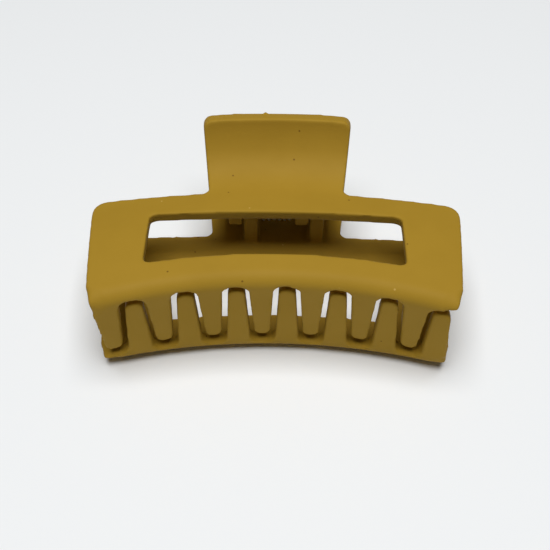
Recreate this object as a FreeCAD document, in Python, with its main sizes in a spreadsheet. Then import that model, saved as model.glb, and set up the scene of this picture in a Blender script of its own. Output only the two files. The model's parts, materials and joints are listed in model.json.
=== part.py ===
# Claw clip for hair: two identical moulded jaws on a steel pin, held closed by a torsion spring.
# X runs along the clip, -Y towards the teeth and +Z up. The clip lies on its rear jaw. The jaws
# are drawn about a middle plane at z = 0, and then tilted and lifted together onto the floor.
import FreeCAD, Part
import math
import os

import Sketcher

V = FreeCAD.Vector
doc = FreeCAD.newDocument("claw_clip")

# Driving dimensions, in millimetres and degrees.
DIMENSIONS = [
    # the whole clip: longest at the shoulders, shorter where the teeth stand
    ("shoulder_length", 68.1),
    ("length", 63.2),
    ("tilt", 4.8),
    # side profile of one jaw: its outer face, measured from the shoulder line
    ("waist_height", 7.75),
    ("panel_slope", 15.4),
    ("panel_radius", 94),
    ("depth", 22.5),
    ("bend_radius", 2.5),
    ("waist_radius", 9.1),
    ("waist_angle", 45),
    ("handle_radius", 14),
    ("handle_angle", 67.8),
    ("wall", 2.25),
    ("handle_tip_wall", 3),
    ("tooth_tip_wall", 1.9),
    ("wall_bottom", 9.5),
    ("wall_lean", 0.8),
    # the sweep that curves the jaw about an axis far in front of it
    ("sweep_radius", 105),
    ("sweep_lean", 10.6),
    ("sweep_angle", 46),
    # outline seen from above
    ("shoulder_radius", 274),
    ("shoulder_corner", 3),
    ("handle_root_width", 24.9),
    ("handle_tip_width", 27.7),
    ("handle_corner", 1.7),
    ("neck_fillet", 1.4),
    # window in the panel
    ("window_length", 45.6),
    ("window_top", 5.9),
    ("window_bottom", 16.4),
    ("window_top_radius", 700),
    ("window_bottom_radius", 127),
    ("window_corner", 1.1),
    # teeth
    ("tooth_pitch", 8.88),
    ("tooth_offset", 2.27),
    ("root_width", 4.2),
    ("tip_width", 2.9),
    ("root_height", 8.8),
    ("root_fall", 1.1),
    ("tip_height", 7),
    ("tip_rise", 0.9),
    ("root_corner", 1.9),
    ("tip_corner", 1.35),
    ("end_height", 8.9),
    ("end_inset", 0.6),
    ("end_drop", 3.2),
    ("end_corner", 1.5),
    # hinge
    ("pivot_setback", 2.2),
    ("pin_radius", 1),
    ("pin_clearance", 0.05),
    ("pin_end", 0.2),
    ("lug_radius", 3),
    ("lug_spread", 3.9),
    ("lug_sink", 0.3),
    ("lug_width", 2.6),
    ("lug_gap", 0.3),
    ("spring_room", 7.2),
    # torsion spring
    ("wire_radius", 0.45),
    ("coil_radius", 1.75),
    ("coil_pitch", 0.98),
    ("coil_turns", 6),
    ("leg_angle", 50.7),
    ("leg_length", 13),
]
TEETH = 7
FAR = 60  # reach of a cutting outline beyond the jaw


def make_sheet():
    """The driving dimensions, one to a row, each with its name as its alias."""
    new = doc.addObject("Spreadsheet::Sheet", "Sheet")
    for row, (alias, number) in enumerate(DIMENSIONS, start=1):
        new.set("A%d" % row, alias)
        new.set("B%d" % row, str(number))
        new.setAlias("B%d" % row, alias)
    doc.recompute()
    return new


sheet = make_sheet()


def value(expression):
    """The number that an expression comes to."""
    result = sheet.evalExpression(str(expression))
    return float(getattr(result, "Value", result))


def size(alias):
    """One driving dimension."""
    return float(sheet.get(alias))


# ------------------------------------------------------------------------------ sketch helpers
def new_sketch(body, name, role, lift=None):
    """A sketch on one of the body's origin planes, lifted off it by an expression."""
    plane = next(f for f in body.Origin.OriginFeatures if f.Role == role)
    sketch = body.newObject("Sketcher::SketchObject", name)
    sketch.AttachmentSupport = [(plane, "")]
    sketch.MapMode = "FlatFace"
    if lift is not None:
        sketch.setExpression("AttachmentOffset.Base.z", lift)
    return sketch


def dimension(sketch, kind, args, expression):
    """A constraint whose size is bound to an expression."""
    index = sketch.addConstraint(Sketcher.Constraint(kind, *args, value(expression)))
    sketch.setExpression("Constraints[%d]" % index, expression)


def hold_point(sketch, geometry, end, corner):
    """Dimension one end of a line or arc from the sketch's origin."""
    dimension(sketch, "DistanceX", (-1, 1, geometry, end), corner[0])
    dimension(sketch, "DistanceY", (-1, 1, geometry, end), corner[1])


def arc_between(start, stop, radius, side):
    """An arc from start to stop, its centre to the left (side 1) or right (side -1) of the way."""
    chord = stop - start
    square = V(-chord.y, chord.x, 0).normalize()
    offset = math.sqrt(radius ** 2 - (chord.Length / 2) ** 2)
    centre = (start + stop) * 0.5 + square * side * offset
    first, last = (start, stop) if side > 0 else (stop, start)
    angles = [math.atan2(p.y - centre.y, p.x - centre.x) for p in (first, last)]
    return Part.ArcOfCircle(Part.Circle(centre, V(0, 0, 1), radius), *angles)


def add_outline(sketch, corners, bends=None):
    """A closed outline through corners, each a pair of expressions.

    bends gives, for the side that leaves a corner, its radius and which hand its centre is on.
    """
    bends = bends or {}
    points = [V(value(x), value(y), 0) for x, y in corners]
    ends = []
    for i, start in enumerate(points):
        stop = points[(i + 1) % len(points)]
        if i in bends:
            radius, side = bends[i]
            piece = sketch.addGeometry(arc_between(start, stop, value(radius), side), False)
            ends.append((piece, 1, 2) if side > 0 else (piece, 2, 1))
        else:
            piece = sketch.addGeometry(Part.LineSegment(start, stop), False)
            ends.append((piece, 1, 2))
    for i, (piece, first, _) in enumerate(ends):
        before, _, last = ends[i - 1]
        sketch.addConstraint(Sketcher.Constraint("Coincident", before, last, piece, first))
        hold_point(sketch, piece, first, corners[i])
        if i in bends:
            dimension(sketch, "Radius", (piece,), bends[i][0])


# ------------------------------------------------------------------- side profile of one jaw
def along(centre, radius, angle, down=False):
    """The point at a radius from a centre: up and over by an angle, or down and over by it."""
    rise = "-" if down else "+"
    return (
        "%s+(%s)*sin(%s)" % (centre[0], radius, angle),
        "%s%s(%s)*cos(%s)" % (centre[1], rise, radius, angle),
    )


SLOPE = "Sheet.panel_slope"
PANEL = "Sheet.panel_radius"
PANEL_CENTRE = ("-%s*sin(%s)" % (PANEL, SLOPE), "Sheet.waist_height-%s*cos(%s)" % (PANEL, SLOPE))
WAIST_CENTRE = (
    "Sheet.waist_radius*sin(%s)" % SLOPE,
    "Sheet.waist_height+Sheet.waist_radius*cos(%s)" % SLOPE,
)
HANDLE_CENTRE = (
    WAIST_CENTRE[0] + "-(Sheet.handle_radius-Sheet.waist_radius)*sin(Sheet.waist_angle)",
    WAIST_CENTRE[1] + "+(Sheet.handle_radius-Sheet.waist_radius)*cos(Sheet.waist_angle)",
)
# where the bend's arc takes over from the panel's, as an angle about the panel's centre
BEND_ANGLE = "asin((%s*sin(%s)-Sheet.depth+Sheet.bend_radius)/(%s-Sheet.bend_radius))" % (
    PANEL, SLOPE, PANEL)
BEND_CENTRE = along(PANEL_CENTRE, PANEL + "-Sheet.bend_radius", BEND_ANGLE)
INNER_PANEL = PANEL + "-Sheet.wall"
INNER_BEND = "Sheet.bend_radius-Sheet.wall"
BEND_START = along(PANEL_CENTRE, PANEL, BEND_ANGLE)
BEND_START_INNER = along(PANEL_CENTRE, INNER_PANEL, BEND_ANGLE)


def wall_profile(sketch):
    """The bend and the wall that the teeth are cut from, thinner and leaning in towards the tips."""
    corners = [
        BEND_START,
        ("-Sheet.depth", BEND_CENTRE[1]),
        ("-Sheet.depth+Sheet.wall_lean", "-Sheet.wall_bottom"),
        ("-Sheet.depth+Sheet.wall_lean+Sheet.tooth_tip_wall", "-Sheet.wall_bottom"),
        ("-Sheet.depth+Sheet.wall", BEND_CENTRE[1]),
        BEND_START_INNER,
    ]
    add_outline(sketch, corners, {0: ("Sheet.bend_radius", 1), 4: (INNER_BEND, -1)})


def panel_profile(sketch):
    """The panel, the waist and the flared handle."""
    shoulder = ("0", "Sheet.waist_height")
    shoulder_inner = ("-Sheet.wall*sin(%s)" % SLOPE, "Sheet.waist_height-Sheet.wall*cos(%s)" % SLOPE)
    neck = along(WAIST_CENTRE, "Sheet.waist_radius", "Sheet.waist_angle", down=True)
    neck_inner = along(WAIST_CENTRE, "Sheet.waist_radius+Sheet.wall", "Sheet.waist_angle", down=True)
    tip = along(HANDLE_CENTRE, "Sheet.handle_radius", "Sheet.handle_angle", down=True)
    tip_inner = along(
        HANDLE_CENTRE, "Sheet.handle_radius+Sheet.handle_tip_wall", "Sheet.handle_angle", down=True)
    corners = [tip, neck, shoulder, BEND_START, BEND_START_INNER, shoulder_inner, neck_inner, tip_inner]
    bends = {
        0: ("Sheet.handle_radius", -1),
        1: ("Sheet.waist_radius", -1),
        2: (PANEL, 1),
        4: (INNER_PANEL, -1),
        5: ("Sheet.waist_radius+Sheet.wall", 1),
        6: ("Sheet.handle_radius+Sheet.wall", 1),
    }
    add_outline(sketch, corners, bends)


def add_sweep_axis(sketch):
    """The axis of the long sweep, as a construction line: in front of the jaw, leaning back."""
    lean = math.radians(size("sweep_lean"))
    crest = V(-size("depth"), value(BEND_CENTRE[1]) + size("bend_radius"), 0)
    foot = crest - V(math.cos(lean), math.sin(lean), 0) * size("sweep_radius")
    along_axis = V(-math.sin(lean), math.cos(lean), 0) * FAR
    axis = sketch.addGeometry(Part.LineSegment(foot, foot + along_axis), True)
    run = "Sheet.sweep_radius"
    foot_at = (
        "-Sheet.depth-%s*cos(Sheet.sweep_lean)" % run,
        "%s+Sheet.bend_radius-%s*sin(Sheet.sweep_lean)" % (BEND_CENTRE[1], run),
    )
    top_at = (
        "%s-%d*sin(Sheet.sweep_lean)" % (foot_at[0], FAR),
        "%s+%d*cos(Sheet.sweep_lean)" % (foot_at[1], FAR),
    )
    hold_point(sketch, axis, 1, foot_at)
    hold_point(sketch, axis, 2, top_at)


def sweep(body, name, draw):
    """Sweep a side profile round the far axis, the same to both sides of the middle."""
    sketch = new_sketch(body, name + "_sketch", "YZ_Plane")
    add_sweep_axis(sketch)
    draw(sketch)
    doc.recompute()
    feature = body.newObject("PartDesign::Revolution", name)
    feature.Profile = sketch
    feature.ReferenceAxis = (sketch, ["Axis0"])
    feature.setExpression("Angle", "Sheet.sweep_angle")
    feature.Midplane = True
    doc.recompute()
    return feature


def cut(body, name, sketch, length=4 * FAR):
    """Cut a sketch's outline through the body, to both sides of the sketch."""
    doc.recompute()
    before = body.Shape.Volume
    feature = body.newObject("PartDesign::Pocket", name)
    feature.Profile = sketch
    feature.Midplane = True
    feature.Length = length
    doc.recompute()
    if not body.Shape.Volume < before:
        raise RuntimeError(name + " cuts nothing")
    return feature


# ----------------------------------------------------------------------------------- teeth
def tooth_middle(i):
    """Where tooth i stands along the clip, as an expression."""
    return "(%d*Sheet.tooth_pitch-Sheet.tooth_offset)" % (i - TEETH // 2)


def tip_level(x):
    """The level of a tooth's tip at x: the tips follow the curved edge that faces them."""
    return "Sheet.tip_rise*(%s/(Sheet.length/2))^2-Sheet.tip_height" % x


def root_level(x):
    """The level of the root between two teeth at x."""
    return "Sheet.root_height-Sheet.root_fall*(%s/(Sheet.length/2))^2" % x


def draw_comb(sketch):
    """What is cut away under the teeth: round their tips, up between them and past both ends."""
    first, last = tooth_middle(0), tooth_middle(TEETH - 1)
    corner = "Sheet.root_corner"
    corners = [
        (str(-FAR), "Sheet.end_height"),
        ("-Sheet.length/2", "Sheet.end_height"),
        ("-Sheet.length/2+Sheet.end_inset", "Sheet.end_height-Sheet.end_drop"),
        (first + "-Sheet.tip_width/2", tip_level(first)),
        (first + "+Sheet.tip_width/2", tip_level(first)),
    ]
    bends = {}
    for i in range(1, TEETH):
        x = tooth_middle(i)
        gap = "(%s-Sheet.tooth_pitch/2)" % x
        left = "%s-(Sheet.tooth_pitch-Sheet.root_width)/2" % gap
        right = "%s+(Sheet.tooth_pitch-Sheet.root_width)/2" % gap
        root = root_level(gap)
        bends[len(corners)] = bends[len(corners) + 2] = (corner, -1)
        corners += [
            (left, "%s-%s" % (root, corner)),
            ("%s+%s" % (left, corner), root),
            ("%s-%s" % (right, corner), root),
            (right, "%s-%s" % (root, corner)),
            (x + "-Sheet.tip_width/2", tip_level(x)),
            (x + "+Sheet.tip_width/2", tip_level(x)),
        ]
    open_root = root_level("Sheet.length/2")
    bends[len(corners)] = (corner, -1)
    bends[len(corners) + 2] = ("Sheet.end_corner", 1)
    corners += [
        (last + "+Sheet.root_width/2", "%s-%s" % (open_root, corner)),
        (last + "+Sheet.root_width/2+" + corner, open_root),
        ("Sheet.length/2-Sheet.end_corner", open_root),
        ("Sheet.length/2", open_root + "+Sheet.end_corner"),
        (str(FAR), open_root + "+Sheet.end_corner"),
        (str(FAR), str(-FAR)),
        (str(-FAR), str(-FAR)),
    ]
    add_outline(sketch, corners, bends)


# ----------------------------------------------------------------------- outline and window
# how far in front of the shoulder line the wall's ends stand, and how fast the ends close in
END_REACH = "(Sheet.depth+Sheet.sweep_radius-sqrt(Sheet.sweep_radius^2-(Sheet.length/2)^2))"
END_TAPER = "((Sheet.shoulder_length-Sheet.length)/2/%s)" % END_REACH


def outline_corners():
    """The jaw from above: handle, shoulders and two ends that close in towards the teeth."""
    half = "Sheet.shoulder_length/2"
    end_y = "-(Sheet.shoulder_radius-sqrt(Sheet.shoulder_radius^2-(%s)^2))" % half
    far_x = "%s-%d*%s" % (half, FAR, END_TAPER)
    neck = "Sheet.handle_root_width/2"
    neck_y = "-(Sheet.shoulder_radius-sqrt(Sheet.shoulder_radius^2-(%s)^2))" % neck
    reach = HANDLE_CENTRE[0] + "+Sheet.handle_radius*sin(Sheet.handle_angle)"
    # the sides of the handle run on past its tip at the same flare
    flare = "(Sheet.handle_tip_width-Sheet.handle_root_width)/2"
    wide = "%s+2*%s" % (neck, flare)
    far_y = "2*(%s)" % reach
    return [
        ("-(%s)" % far_x, str(-FAR)),
        (far_x, str(-FAR)),
        (half, end_y),
        (neck, neck_y),
        (wide, far_y),
        ("-(%s)" % wide, far_y),
        ("-(%s)" % neck, neck_y),
        ("-(%s)" % half, end_y),
    ]


def draw_surround(sketch):
    """Everything outside the jaw's outline, as a frame with the outline as its hole."""
    side = 2 * FAR
    square = [(-side, -side), (side, -side), (side, side), (-side, side)]
    add_outline(sketch, [(str(x), str(y)) for x, y in square])
    shoulder = ("Sheet.shoulder_radius", 1)
    add_outline(sketch, outline_corners(), {2: shoulder, 6: shoulder})


def draw_window(sketch):
    """The window: its long edges arc the same way as the teeth."""
    half = "Sheet.window_length/2"

    def edge(start, radius):
        return "-%s-(%s-sqrt(%s^2-(%s)^2))" % (start, radius, radius, half)

    top = edge("Sheet.window_top", "Sheet.window_top_radius")
    bottom = edge("Sheet.window_bottom", "Sheet.window_bottom_radius")
    corners = [("-" + half, bottom), (half, bottom), (half, top), ("-" + half, top)]
    bends = {0: ("Sheet.window_bottom_radius", -1), 2: ("Sheet.window_top_radius", 1)}
    add_outline(sketch, corners, bends)


# ------------------------------------------------------------------------------------- hinge
PIVOT = ("Sheet.pivot_setback", "0")


def draw_lug(sketch):
    """A hinge lug from the side: a rounded eye that widens into the middle of the waist's wall."""
    mid_wall = "Sheet.waist_height-Sheet.wall/2"
    corners = [
        ("Sheet.pivot_setback-Sheet.lug_radius", "0"),
        ("Sheet.pivot_setback", "-Sheet.lug_radius"),
        ("Sheet.pivot_setback+Sheet.lug_radius", "0"),
        ("Sheet.pivot_setback+Sheet.lug_spread", mid_wall),
        ("0", mid_wall + "-Sheet.lug_sink"),
        ("Sheet.pivot_setback-Sheet.lug_spread", mid_wall + "+Sheet.lug_sink"),
    ]
    eye = ("Sheet.lug_radius", 1)
    add_outline(sketch, corners, {0: eye, 1: eye})


def add_lugs(body):
    """Two lugs, one outside its neighbour on one side and one inside it on the other."""
    starts = {
        "inner_lug": "Sheet.spring_room/2",
        "outer_lug": "-Sheet.spring_room/2-2*Sheet.lug_width-Sheet.lug_gap",
    }
    for name, start in starts.items():
        sketch = new_sketch(body, name + "_sketch", "YZ_Plane", lift=start)
        draw_lug(sketch)
        doc.recompute()
        lug = body.newObject("PartDesign::Pad", name)
        lug.Profile = sketch
        lug.setExpression("Length", "Sheet.lug_width")
        doc.recompute()


def draw_bore(sketch, radius):
    """The round bore for the pin."""
    circle = Part.Circle(V(value(PIVOT[0]), value(PIVOT[1]), 0), V(0, 0, 1), value(radius))
    bore = sketch.addGeometry(circle, False)
    hold_point(sketch, bore, 3, PIVOT)
    dimension(sketch, "Radius", (bore,), radius)


# ----------------------------------------------------------------------------------- rounding
def straight_edges(shape, direction, near):
    """Names of the straight edges along a direction whose middles pass a test."""
    names = []
    for i, edge in enumerate(shape.Edges, start=1):
        if edge.Curve.TypeId != "Part::GeomLine":
            continue
        way = edge.tangentAt(edge.FirstParameter)
        if abs(abs(way.dot(direction)) - 1) < 1e-6 and near(edge.CenterOfMass):
            names.append("Edge%d" % i)
    return names


def round_edges(body, name, names, radius):
    """Round the named edges of the body's last feature."""
    base = body.Tip
    fillet = body.newObject("PartDesign::Fillet", name)
    fillet.Base = (base, names)
    fillet.setExpression("Radius", radius)
    doc.recompute()
    return fillet


def round_corners(body):
    """The rounded corners of the outline, the window and the handle."""
    near = size("wall") / 4  # an edge this close to where it is looked for is the right one

    def upright(name, radius, x, passes):
        names = straight_edges(body.Shape, V(0, 0, 1),
                               lambda p: abs(abs(p.x) - x) < near and passes(p.y))
        return round_edges(body, name, names, radius)

    upright("shoulder_corners", "Sheet.shoulder_corner", size("shoulder_length") / 2,
            lambda y: y > -size("window_top"))
    upright("neck_corners", "Sheet.neck_fillet", size("handle_root_width") / 2,
            lambda y: y < size("pivot_setback"))
    upright("window_corners", "Sheet.window_corner", size("window_length") / 2, lambda y: y < 0)
    names = [
        "Edge%d" % i for i, edge in enumerate(body.Shape.Edges, start=1)
        if abs(abs(edge.CenterOfMass.x) - size("handle_tip_width") / 2) < near
        and abs(edge.Length - size("handle_tip_wall")) < near
    ]
    round_edges(body, "handle_corners", names, "Sheet.handle_corner")


def make_jaw(name, bore_radius):
    """One moulded jaw, in its place above the middle plane."""
    body = doc.addObject("PartDesign::Body", name)
    body.Label = name
    sweep(body, "tooth_wall", wall_profile)
    comb = new_sketch(body, "comb_sketch", "XZ_Plane")
    draw_comb(comb)
    cut(body, "comb", comb)
    tips = straight_edges(body.Shape, V(0, 1, 0), lambda p: p.z < 0)
    round_edges(body, "tip_corners", tips, "Sheet.tip_corner")
    sweep(body, "panel", panel_profile)
    surround = new_sketch(body, "surround_sketch", "XY_Plane")
    draw_surround(surround)
    cut(body, "surround", surround)
    window = new_sketch(body, "window_sketch", "XY_Plane")
    draw_window(window)
    cut(body, "window", window)
    round_corners(body)
    add_lugs(body)
    bore = new_sketch(body, "bore_sketch", "YZ_Plane")
    draw_bore(bore, bore_radius)
    cut(body, "bore", bore)
    return body


# ------------------------------------------------------------------------ pin and spring
def make_pin():
    """The plain steel pin, its ends just proud of the outer lugs."""
    pin = doc.addObject("Part::Cylinder", "pin_blank")
    pin.setExpression("Radius", "Sheet.pin_radius")
    span = "2*(Sheet.spring_room/2+2*Sheet.lug_width+Sheet.lug_gap+Sheet.pin_end)"
    pin.setExpression("Height", span)
    doc.recompute()
    rounded = doc.addObject("Part::Chamfer", "hinge_pin")
    rounded.Label = "hinge_pin"
    rounded.Base = pin
    rims = [i for i, edge in enumerate(pin.Shape.Edges, start=1) if edge.isClosed()
            and edge.Curve.TypeId == "Part::GeomCircle"]
    rounded.Edges = [(i, size("pin_end"), size("pin_end")) for i in rims]
    doc.recompute()
    return rounded, V(0, value(PIVOT[0]), 0) + V(-value(span) / 2, 0, 0)


def make_spring():
    """The torsion spring: close turns round the pin and a straight leg under each handle."""
    turns = size("coil_turns") - 2 * (90 - size("leg_angle")) / 360
    wire, radius = size("wire_radius"), size("coil_radius")
    height = turns * size("coil_pitch")
    helix = Part.Wire(Part.makeHelix(size("coil_pitch"), height, radius))
    circle = Part.Circle(V(radius, 0, 0), V(0, 1, 0), wire)
    coil = helix.makePipeShell([Part.Wire(circle.toShape())], True, True)
    legs = []
    for angle, level, way in ((0, 0, -1), (360 * turns, height, 1)):
        out = V(math.cos(math.radians(angle)), math.sin(math.radians(angle)), 0)
        tangent = V(-out.y, out.x, 0) * way
        foot = out * radius + V(0, 0, level)
        leg = Part.makeCylinder(wire, size("leg_length"), foot, tangent)
        tip = Part.makeSphere(wire, foot + tangent * size("leg_length"))
        legs.append(leg.fuse(tip))
    spring = doc.addObject("Part::Feature", "torsion_spring")
    spring.Label = "torsion_spring"
    spring.Shape = coil.multiFuse(legs).Solids[0]
    return spring, height


# ------------------------------------------------------------------------------- assembly
TO_X = FreeCAD.Rotation(V(0, 1, 0), V(0, 0, 1), V(1, 0, 0), "ZXY")


def lay_down(parts, lift):
    """Tilt the parts together about the clip's length and lift them by one step."""
    tilt = FreeCAD.Placement(V(0, 0, 0), FreeCAD.Rotation(V(1, 0, 0), size("tilt")))
    for part, own in parts.items():
        part.Placement = FreeCAD.Placement(lift, FreeCAD.Rotation()) * tilt * own


def whole_box(parts):
    """The box round all the parts."""
    box = FreeCAD.BoundBox()
    for part in parts:
        box.add(part.Shape.optimalBoundingBox())
    return box


def check(parts):
    """Stop if any object failed or any part's shape is null or not valid."""
    failed = [o.Name for o in doc.Objects if "Invalid" in o.State or "Error" in o.State]
    failed += [p.Label for p in parts if p.Shape.isNull() or not p.Shape.isValid()]
    if failed:
        raise RuntimeError("failed: " + ", ".join(failed))


def build():
    """Make the parts, lay the clip down and write one file for each part."""
    front = make_jaw("front_jaw", "Sheet.pin_radius+Sheet.pin_clearance")
    rear = make_jaw("rear_jaw", "Sheet.pin_radius")
    pin, pin_start = make_pin()
    spring, coil_height = make_spring()
    half_turn = FreeCAD.Placement(V(0, 0, 0), FreeCAD.Rotation(V(0, 1, 0), 180))
    pivot = V(0, value(PIVOT[0]), 0)
    coil_twist = FreeCAD.Rotation(V(1, 0, 0), 90 - size("leg_angle"))
    coil_start = pivot - V(coil_height / 2, 0, 0)
    parts = {
        front: FreeCAD.Placement(),
        rear: half_turn,
        pin: FreeCAD.Placement(pin_start, TO_X),
        spring: FreeCAD.Placement(coil_start, coil_twist * TO_X),
    }
    lay_down(parts, V(0, 0, 0))
    doc.recompute()
    box = whole_box(parts)
    lay_down(parts, V(0, -box.Center.y, -box.ZMin))
    doc.recompute()
    check(parts)
    os.makedirs("parts", exist_ok=True)
    for part in parts:
        part.Shape.exportStep("parts/%s.step" % part.Label)
        print(part.Label, "volume %.1f mm3" % part.Shape.Volume)
    box = whole_box(parts)
    print("size %.2f x %.2f x %.2f mm" % (box.XLength, box.YLength, box.ZLength))
    pivot_now = front.Placement.multVec(pivot)
    print("pivot at y %.3f z %.3f mm" % (pivot_now.y, pivot_now.z))
    print("spring to front jaw %.3f mm" % spring.Shape.distToShape(front.Shape)[0])
    print("spring to rear jaw %.3f mm" % spring.Shape.distToShape(rear.Shape)[0])
    print("jaw to jaw %.3f mm" % front.Shape.distToShape(rear.Shape)[0])


build()
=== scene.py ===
# %% [markdown]
# # A claw clip for hair
#
# The clip is two identical mouldings in soft-touch ochre plastic, a steel pin and a torsion spring. The
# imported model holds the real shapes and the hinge. These cells take each jaw's shape from it, ease its
# edges as a mould does, wind the spring from wire, give each piece its finish and set up a plain studio.

# %% Load the frame
import json
import math

import bmesh
import bpy
from mathutils import Matrix, Vector


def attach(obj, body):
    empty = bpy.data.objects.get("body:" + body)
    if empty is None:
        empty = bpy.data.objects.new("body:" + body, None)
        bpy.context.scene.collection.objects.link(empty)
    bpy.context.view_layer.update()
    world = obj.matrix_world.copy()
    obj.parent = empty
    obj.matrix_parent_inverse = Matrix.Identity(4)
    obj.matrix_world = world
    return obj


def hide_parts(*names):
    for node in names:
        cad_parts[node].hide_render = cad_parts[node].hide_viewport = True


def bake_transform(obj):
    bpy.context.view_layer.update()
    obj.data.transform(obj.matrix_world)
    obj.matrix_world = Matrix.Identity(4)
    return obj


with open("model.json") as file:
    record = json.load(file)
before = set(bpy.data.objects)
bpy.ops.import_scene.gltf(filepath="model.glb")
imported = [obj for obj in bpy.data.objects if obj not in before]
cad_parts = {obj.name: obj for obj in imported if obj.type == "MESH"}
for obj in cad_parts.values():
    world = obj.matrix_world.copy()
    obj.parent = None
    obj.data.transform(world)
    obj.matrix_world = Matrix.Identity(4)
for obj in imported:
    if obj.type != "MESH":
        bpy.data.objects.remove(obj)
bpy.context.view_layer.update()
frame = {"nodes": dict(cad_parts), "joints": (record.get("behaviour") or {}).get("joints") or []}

MM = 0.001

# %% [markdown]
# ## Where the hinge is
#
# Everything that turns about the pin needs its axis. It could be measured off the pin's mesh, but the
# record's joint states it, so the spring that is wound below can't drift from the hinge that the jaws
# turn on.

# %% Read the hinge
pivot = Vector(frame["joints"][0]["pos_m"])
print("pivot in mm:", [round(c / MM, 3) for c in pivot])

# %% [markdown]
# ## Mould-soft edges
#
# No edge of an injection moulding is sharp: the steel of the mould is eased, the plastic shrinks, and a
# soft-touch coat rounds it a little more. A Bevel modifier wants long clean edges, and a tessellated
# solid has none, so its bevels pinch. A voxel remesh of a merged copy doesn't mind how the surface was
# divided. It gives even quads about a quarter of a millimetre wide, and some passes of smoothing then
# ease every edge by about the same radius, the inside corners too.

# %% An even skin over a moulded node
VOXEL = 0.26 * MM
MERGE = 0.002 * MM      # corners of neighbouring triangles that are one point
EASE_FACTOR = 0.5       # how far one pass moves a point towards the middle of its neighbours
EASE_PASSES = 12


def link(name, mesh):
    """A new object in the scene, at the origin, for a mesh whose place is in its vertices."""
    piece = bpy.data.objects.new(name, mesh)
    bpy.context.scene.collection.objects.link(piece)
    return piece


def apply_modifiers(piece):
    """Make the piece's mesh what its modifiers show, and drop them."""
    graph = bpy.context.evaluated_depsgraph_get()
    mesh = bpy.data.meshes.new_from_object(piece.evaluated_get(graph))
    piece.modifiers.clear()
    piece.data = mesh


def moulded_copy(node, name):
    """A copy of a node as one even skin, with its edges eased."""
    bm = bmesh.new()
    bm.from_mesh(frame["nodes"][node].data)
    bmesh.ops.remove_doubles(bm, verts=bm.verts, dist=MERGE)
    mesh = bpy.data.meshes.new(name)
    bm.to_mesh(mesh)
    bm.free()
    piece = link(name, mesh)
    remesh = piece.modifiers.new("even_skin", "REMESH")
    remesh.mode = "VOXEL"
    remesh.voxel_size = VOXEL
    remesh.use_smooth_shade = True
    ease = piece.modifiers.new("eased_edges", "SMOOTH")
    ease.factor = EASE_FACTOR
    ease.iterations = EASE_PASSES
    apply_modifiers(piece)
    print(name, "has", len(piece.data.polygons), "faces")
    return piece


front_shell = moulded_copy("front_jaw", "front_shell")
rear_shell = moulded_copy("rear_jaw", "rear_shell")

# %% [markdown]
# ## Round crest ends
#
# The four crest ends of the real clip are rounder than its other edges. Another remesh couldn't tell them
# from the rest, but a bmesh can smooth only the points near a corner, over and over. Each corner is found
# as the point that lies farthest out along a direction, so it stays right if the clip's size changes.

# %% Find and soften a corner
CORNER_REACH = 3.2 * MM
CORNER_PASSES = 80
CREST_LIFT = 0.4        # how much the way to a crest's end goes up or down, for one part to the side


def extreme(bm, way, slice_x=None):
    """The point of a mesh that lies farthest along a direction, of all its points or of a thin slice."""
    points = [v.co for v in bm.verts if slice_x is None or abs(v.co.x - slice_x) < VOXEL]
    return max(points, key=Vector(way).dot).copy()


def soften(bm, corner):
    """Smooth the skin round a corner."""
    near = [v for v in bm.verts if (v.co - corner).length < CORNER_REACH]
    for _ in range(CORNER_PASSES):
        bmesh.ops.smooth_vert(bm, verts=near, factor=EASE_FACTOR,
                              use_axis_x=True, use_axis_y=True, use_axis_z=True)

# %% [markdown]
# ## Marks of the mould
#
# Such a clip keeps small marks of how it was made: a stub where the handle's gate was snapped off, and
# thin flash where the mould's halves met at one end. They are too small to be worth pieces of their own,
# so each is a gentle push of the skin out along its normals.

# %% Round the crest ends and raise the marks
FRONT_MARKS = [
    # the gate's stub, on the handle's rim a little to the left of the middle
    {"way": (0, 0.5, 1), "slice_x": -2.4 * MM, "offset_mm": (0, 0, 0), "reach_mm": 0.5, "height_mm": 0.3},
    # flash on the panel's right end, a little behind the crest
    {"way": (1, -0.6, 0.4), "slice_x": None, "offset_mm": (0, 3.2, 0), "reach_mm": 0.7, "height_mm": 0.3},
]
REAR_MARKS = [
    # flash up the end of the rear jaw's last tooth, in two lumps
    {"way": (1, -0.6, -0.4), "slice_x": None, "offset_mm": (0, 0.6, 5.0), "reach_mm": 0.8, "height_mm": 0.3},
    {"way": (1, -0.6, -0.4), "slice_x": None, "offset_mm": (0, 0.5, 3.4), "reach_mm": 0.7, "height_mm": 0.25},
]


def raise_mark(bm, centre, reach, height):
    """Push the skin near a point out by a height that fades to nothing at the reach."""
    bm.normal_update()
    pushes = []
    for v in bm.verts:
        away = (v.co - centre).length / reach
        if away < 1:
            pushes.append((v, v.normal * height * (1 - away ** 2) ** 2))
    for v, push in pushes:
        v.co += push
    return len(pushes)


def finish_skin(shell, up, marks):
    """Round a jaw's two crest ends, then raise its marks, each placed from its crest corner or rim."""
    bm = bmesh.new()
    bm.from_mesh(shell.data)
    for side in (-1, 1):
        soften(bm, extreme(bm, (side, -1, CREST_LIFT * up)))
    for mark in marks:
        centre = extreme(bm, mark["way"], mark["slice_x"]) + Vector(mark["offset_mm"]) * MM
        moved = raise_mark(bm, centre, mark["reach_mm"] * MM, mark["height_mm"] * MM)
        print(shell.name, "mark at mm", [round(c / MM, 1) for c in centre], "moved", moved, "points")
    bm.to_mesh(shell.data)
    bm.free()
    shell.data.shade_smooth()


finish_skin(front_shell, 1, FRONT_MARKS)
finish_skin(rear_shell, -1, REAR_MARKS)

# %% [markdown]
# ## The skins take their nodes' places
#
# Each skin moves with the body that its node belongs to and hides that node. Both wear the same plastic,
# so they share one slot, and a new colour for the clip is one change.

# %% Put each skin in its node's place
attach(front_shell, "front")
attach(rear_shell, "rear")
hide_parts("front_jaw")
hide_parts("rear_jaw")

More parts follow.
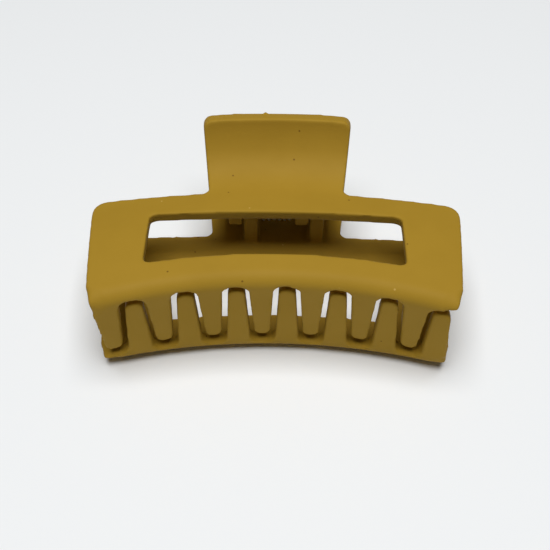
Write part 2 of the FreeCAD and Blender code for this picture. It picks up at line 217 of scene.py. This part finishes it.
# %% [markdown]
# ## The torsion spring
#
# The spring is one length of hard-drawn wire: a straight leg under the front handle, close turns round
# the pin, and a straight leg under the rear handle. A curve with a bevel would do it, but its ends are
# cut square. Here the wire's section is a ring of edges: bmesh's spin screws it round the pin, and the
# two end rings are then drawn out into legs with rounded tips.

# %% The wire's sizes
TILT = math.radians(4.8)         # the clip's middle plane, from level
LEG_ANGLE = math.radians(50.7)   # each leg, from the middle plane
LEG_LENGTH = 13.0 * MM
WIRE_RADIUS = 0.45 * MM
COIL_RADIUS = 1.75 * MM
COIL_PITCH = 0.98 * MM
WHOLE_TURNS = 6
STEPS_PER_TURN = 36
SECTION_SIDES = 14
TIP_STEPS = ((0.6, 0.8), (0.3, 0.6), (0.1, 0.4))   # each step's length in wire radii, and its shrink

turns = WHOLE_TURNS - 2 * (math.pi / 2 - LEG_ANGLE) / math.tau
coil_length = turns * COIL_PITCH
print("turns:", round(turns, 3), "coil length in mm:", round(coil_length / MM, 2))

# %% [markdown]
# ## Winding
#
# A spring maker feeds the first leg, turns the mandrel and leaves the second leg. The cell works in the
# other order, because a screw has to start from a section: coil first, then a leg from each of its ends.
# Each leg leaves the coil along its tangent, as wire does.

# %% Wind the spring
def draw_leg(bm, ring, way):
    """Draw an end ring out into a straight leg with a rounded tip."""
    steps = [(LEG_LENGTH - WIRE_RADIUS, 1.0)]
    steps += [(run * WIRE_RADIUS, shrink) for run, shrink in TIP_STEPS]
    for run, shrink in steps:
        out = bmesh.ops.extrude_edge_only(bm, edges=ring)["geom"]
        points = [g for g in out if isinstance(g, bmesh.types.BMVert)]
        ring = [g for g in out if isinstance(g, bmesh.types.BMEdge)]
        bmesh.ops.translate(bm, verts=points, vec=way * run)
        middle = sum((p.co for p in points), Vector()) / len(points)
        bmesh.ops.scale(bm, verts=points, vec=(shrink,) * 3, space=Matrix.Translation(-middle))
    bmesh.ops.holes_fill(bm, edges=ring, sides=SECTION_SIDES)


def heading(angle):
    """The direction at an angle about the pin, from +Y towards +Z."""
    return Vector((0, math.cos(angle), math.sin(angle)))


def wind_spring():
    """The spring at rest, its rear leg at the -X end of the coil."""
    rear_way = TILT - LEG_ANGLE
    front_way = TILT + LEG_ANGLE
    radial = heading(rear_way + math.pi / 2)
    across = Vector((1, 0, 0))
    place = Matrix((across, radial, across.cross(radial))).transposed().to_4x4()
    place.translation = pivot + radial * COIL_RADIUS - across * coil_length / 2
    bm = bmesh.new()
    bmesh.ops.create_circle(bm, segments=SECTION_SIDES, radius=WIRE_RADIUS, matrix=place)
    first = bm.edges[:]
    steps = round(turns * STEPS_PER_TURN)
    wound = bmesh.ops.spin(bm, geom=bm.verts[:] + first, cent=pivot, axis=across, angle=turns * math.tau,
                           dvec=across * coil_length / steps, steps=steps)
    last = [g for g in wound["geom_last"] if isinstance(g, bmesh.types.BMEdge)]
    draw_leg(bm, first, heading(rear_way))
    draw_leg(bm, last, heading(front_way))
    bmesh.ops.remove_doubles(bm, verts=bm.verts, dist=MERGE)
    bmesh.ops.recalc_face_normals(bm, faces=bm.faces)
    mesh = bpy.data.meshes.new("wound_spring")
    bm.to_mesh(mesh)
    bm.free()
    mesh.shade_smooth()
    return link("wound_spring", mesh)


spring = wind_spring()
print("spring faces:", len(spring.data.polygons))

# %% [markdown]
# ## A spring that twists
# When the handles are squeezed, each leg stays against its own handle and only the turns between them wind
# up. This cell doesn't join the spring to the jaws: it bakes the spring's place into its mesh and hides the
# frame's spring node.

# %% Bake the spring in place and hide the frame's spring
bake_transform(spring)
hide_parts("torsion_spring")

# %% [markdown]
# ## Colour and nodes
#
# Colours are written as sRGB hex values, as a paint chart gives them. Blender's sockets want linear
# light, so one function converts them. Another adds any node with its settings and its links, so that
# each material below reads from top to bottom.

# %% Colour and node helpers
def linear(hex_colour):
    """An sRGB hex colour as linear RGBA."""
    parts = [int(hex_colour[i:i + 2], 16) / 255 for i in (0, 2, 4)]
    return (*(c / 12.92 if c <= 0.04045 else ((c + 0.055) / 1.055) ** 2.4 for c in parts), 1.0)


def add_node(tree, kind, settings=None, inputs=None):
    """A node of a kind, with its settings, and its sockets given values or linked to other sockets."""
    node = tree.nodes.new(kind)
    for name, setting in (settings or {}).items():
        setattr(node, name, setting)
    for socket, source in (inputs or {}).items():
        if isinstance(source, bpy.types.NodeSocket):
            tree.links.new(source, node.inputs[socket])
        else:
            node.inputs[socket].default_value = source
    return node


def new_material(name, values):
    """A material with one surface shader, its constant values set."""
    material = bpy.data.materials.new(name)
    material.use_nodes = True
    tree = material.node_tree
    tree.nodes.clear()
    shader = add_node(tree, "ShaderNodeBsdfPrincipled", inputs=values)
    add_node(tree, "ShaderNodeOutputMaterial", inputs={"Surface": shader.outputs["BSDF"]})
    return material, tree, shader

# %% [markdown]
# ## Pits and dust
#
# A matte coat shows every fault: here a dark pit, there a pale fleck of dust. Painting them one by one
# would tie them to this size of clip. A Voronoi pattern has one point in each of its cells, scattered
# but fixed, so a dot round the points of some of the cells gives faults that stay in place.

# %% A mask of scattered dots
SPECK_SPACING = 3.2 * MM
SPECK_SIZE = 0.18 * MM


def specks(tree, place, shift_m, share):
    """A mask of tiny dots in a share of a Voronoi pattern's cells, the pattern shifted along X."""
    shifted = add_node(tree, "ShaderNodeVectorMath", {"operation": "ADD"},
                       {0: place, 1: (shift_m, 0.0, 0.0)}).outputs["Vector"]
    cells = add_node(tree, "ShaderNodeTexVoronoi", inputs={"Vector": shifted, "Scale": 1 / SPECK_SPACING})
    dot = add_node(tree, "ShaderNodeMath", {"operation": "LESS_THAN"},
                   {0: cells.outputs["Distance"], 1: SPECK_SIZE / SPECK_SPACING})
    pick = add_node(tree, "ShaderNodeSeparateColor", inputs={"Color": cells.outputs["Color"]})
    chosen = add_node(tree, "ShaderNodeMath", {"operation": "LESS_THAN"}, {0: pick.outputs["Red"], 1: share})
    both = add_node(tree, "ShaderNodeMath", {"operation": "MULTIPLY"},
                    {0: dot.outputs["Value"], 1: chosen.outputs["Value"]})
    return both.outputs["Value"]

# %% [markdown]
# ## Soft-touch moulded plastic
#
# The jaws are ABS with a rubbery matte coat. It gives the eye a deep, slightly uneven ochre with a broad
# dull sheen and no sharp highlight. Close up there is a fine eggshell grain and a cloudy mottle where the
# coat lies thicker. The real grain is about 0.05 mm, too fine to show here, so it is drawn four times as
# coarse.

# %% The jaws' plastic
GRAIN = 0.2 * MM
GRAIN_DEPTH = 0.02 * MM
MOTTLE = 9.0 * MM
COAT_IOR = 1.46
COAT_SHINE = 0.08
COAT_ROUGHNESS = (0.52, 0.64)
THIN_COAT = linear("A5832B")
THICK_COAT = linear("9B7A25")
PIT = linear("74551A")
PIT_SHARE = 0.45
DUST = linear("BE9C50")
DUST_SHARE = 0.2
DUST_SHIFT = 0.37
MIX_A, MIX_B, MIX_RESULT = 6, 7, 2   # a Mix node's colour sockets, whose names its other sockets share


def soft_touch_plastic():
    """Ochre ABS with a soft-touch coat."""
    material, tree, shader = new_material("soft_touch_abs_moulded", {
        "IOR": COAT_IOR, "Specular IOR Level": COAT_SHINE})
    place = add_node(tree, "ShaderNodeTexCoord").outputs["Object"]
    mottle = add_node(tree, "ShaderNodeTexNoise", inputs={
        "Vector": place, "Scale": 1 / MOTTLE, "Detail": 4.0, "Roughness": 0.6}).outputs["Fac"]
    colour = add_node(tree, "ShaderNodeMix", {"data_type": "RGBA"}, {
        "Factor": mottle, MIX_A: THIN_COAT, MIX_B: THICK_COAT}).outputs[MIX_RESULT]
    for shift_m, share, fault in ((0.0, PIT_SHARE, PIT), (DUST_SHIFT, DUST_SHARE, DUST)):
        colour = add_node(tree, "ShaderNodeMix", {"data_type": "RGBA"}, {
            "Factor": specks(tree, place, shift_m, share), MIX_A: colour, MIX_B: fault,
        }).outputs[MIX_RESULT]
    tree.links.new(colour, shader.inputs["Base Color"])
    rough = add_node(tree, "ShaderNodeMapRange", inputs={
        "Value": mottle, "To Min": COAT_ROUGHNESS[0], "To Max": COAT_ROUGHNESS[1]})
    tree.links.new(rough.outputs["Result"], shader.inputs["Roughness"])
    grain = add_node(tree, "ShaderNodeTexNoise", inputs={"Vector": place, "Scale": 1 / GRAIN, "Detail": 2.0})
    bump = add_node(tree, "ShaderNodeBump", inputs={
        "Strength": 0.25, "Distance": GRAIN_DEPTH, "Height": grain.outputs["Fac"]})
    tree.links.new(bump.outputs["Normal"], shader.inputs["Normal"])
    return material


plastic = soft_touch_plastic()
for shell in (front_shell, rear_shell):
    shell.data.materials.append(plastic)
print("plastic nodes:", len(plastic.node_tree.nodes))

# %% [markdown]
# ## Steel
#
# The spring is hard-drawn wire with fine lines along its length, and the pin is a cut length of the same
# stock, ground dull at its ends. Both are plain bright steel that has lost its shine under handling. A
# noise pulled long by a Mapping node draws the lines on each.

# %% The two steels
DRAW_LINE = 0.12 * MM
DRAW_DEPTH = 0.005 * MM
STEEL_ROUGHNESS = (0.22, 0.42)
WIRE_LINES = (1.0, 0.2, 0.2)    # how closely the lines lie along each axis
PIN_LINES = (0.1, 1.0, 1.0)


def drawn_steel(name, hex_colour, closeness):
    """Steel with draw lines: a noise pulled long along the piece."""
    material, tree, shader = new_material(name, {"Base Color": linear(hex_colour), "Metallic": 1.0})
    place = add_node(tree, "ShaderNodeTexCoord").outputs["Object"]
    pulled = add_node(tree, "ShaderNodeMapping", inputs={"Vector": place, "Scale": closeness})
    lines = add_node(tree, "ShaderNodeTexNoise", inputs={
        "Vector": pulled.outputs["Vector"], "Scale": 1 / DRAW_LINE, "Detail": 2.0}).outputs["Fac"]
    rough = add_node(tree, "ShaderNodeMapRange", inputs={
        "Value": lines, "To Min": STEEL_ROUGHNESS[0], "To Max": STEEL_ROUGHNESS[1]})
    tree.links.new(rough.outputs["Result"], shader.inputs["Roughness"])
    bump = add_node(tree, "ShaderNodeBump", inputs={
        "Strength": 0.2, "Distance": DRAW_DEPTH, "Height": lines})
    tree.links.new(bump.outputs["Normal"], shader.inputs["Normal"])
    return material


spring.data.materials.append(drawn_steel("spring_wire_hard_drawn", "B9B7B0", WIRE_LINES))
pin = frame["nodes"]["hinge_pin"]
pin.data.materials.clear()
pin.data.materials.append(drawn_steel("pin_steel_ground", "A9A8A4", PIN_LINES))
print("pin material:", pin.data.materials[0].name)

# %% [markdown]
# ## The table
#
# The clip lies on pale paper. A plane with a dull white material is enough: what matters is the soft
# contact shadow and the light that the paper throws back up at the teeth.

# %% The floor
FLOOR_HALF = 1.5
PAPER = linear("EEF0F1")
PAPER_ROUGHNESS = 0.85


def make_floor():
    """A pale paper table top."""
    bm = bmesh.new()
    bmesh.ops.create_grid(bm, x_segments=1, y_segments=1, size=FLOOR_HALF)
    mesh = bpy.data.meshes.new("floor")
    bm.to_mesh(mesh)
    bm.free()
    material, _, _ = new_material("white_paper", {"Base Color": PAPER, "Roughness": PAPER_ROUGHNESS})
    mesh.materials.append(material)
    link("floor", mesh)


make_floor()
print("floor is", 2 * FLOOR_HALF, "m wide")

# %% [markdown]
# ## The light
#
# One broad soft light hangs over the clip, a little towards the viewer, with a very weak even fill. It
# brightens the panel, the crest and the handle, and leaves the inside of the clip and the slots between
# the teeth in shade. A light from behind would reach the lower panel and flatten the inside.

# %% The lights
LIGHT_PLACE = Vector((0.0, -0.10, 0.80))
LIGHT_SIDE = 0.5
LIGHT_POWER = 7.0
FILL_COLOUR = linear("F4F6FA")
FILL_STRENGTH = 0.06


def hang_light():
    """A square soft light that faces the clip."""
    data = bpy.data.lights.new("ceiling_light", "AREA")
    data.shape = "SQUARE"
    data.size = LIGHT_SIDE
    data.energy = LIGHT_POWER
    light = bpy.data.objects.new("ceiling_light", data)
    light.location = LIGHT_PLACE
    light.rotation_euler = (pivot - LIGHT_PLACE).to_track_quat("-Z", "Y").to_euler()
    bpy.context.scene.collection.objects.link(light)


hang_light()
world = bpy.data.worlds.new("studio")
world.use_nodes = True
sky = world.node_tree.nodes["Background"]
sky.inputs["Color"].default_value = FILL_COLOUR
sky.inputs["Strength"].default_value = FILL_STRENGTH
bpy.context.scene.world = world
bpy.context.scene.view_settings.view_transform = "Standard"
print("light is", round((pivot - LIGHT_PLACE).length, 2), "m from the hinge")

# %% [markdown]
# ## The viewpoint
#
# The camera looks down at about fifty degrees from close in front, so the near crest looks wider than the
# far shoulders. A longer lens from farther away would hide that.

# %% The camera
CAMERA_PLACE = (0.0018, -0.1233, 0.1483)
ELEVATION = math.radians(49.5)
YAW = math.radians(0.9)
SENSOR = 36.0
LENS = 63.56
CLIP_START = 0.01

lens = bpy.data.cameras.new("camera")
lens.sensor_width = SENSOR
lens.lens = LENS
lens.clip_start = CLIP_START
camera = bpy.data.objects.new("camera", lens)
camera.location = CAMERA_PLACE
camera.rotation_euler = (math.pi / 2 - ELEVATION, 0, YAW)
bpy.context.scene.collection.objects.link(camera)
bpy.context.scene.camera = camera
print("camera is", round((Vector(CAMERA_PLACE) - pivot).length / MM), "mm from the hinge")
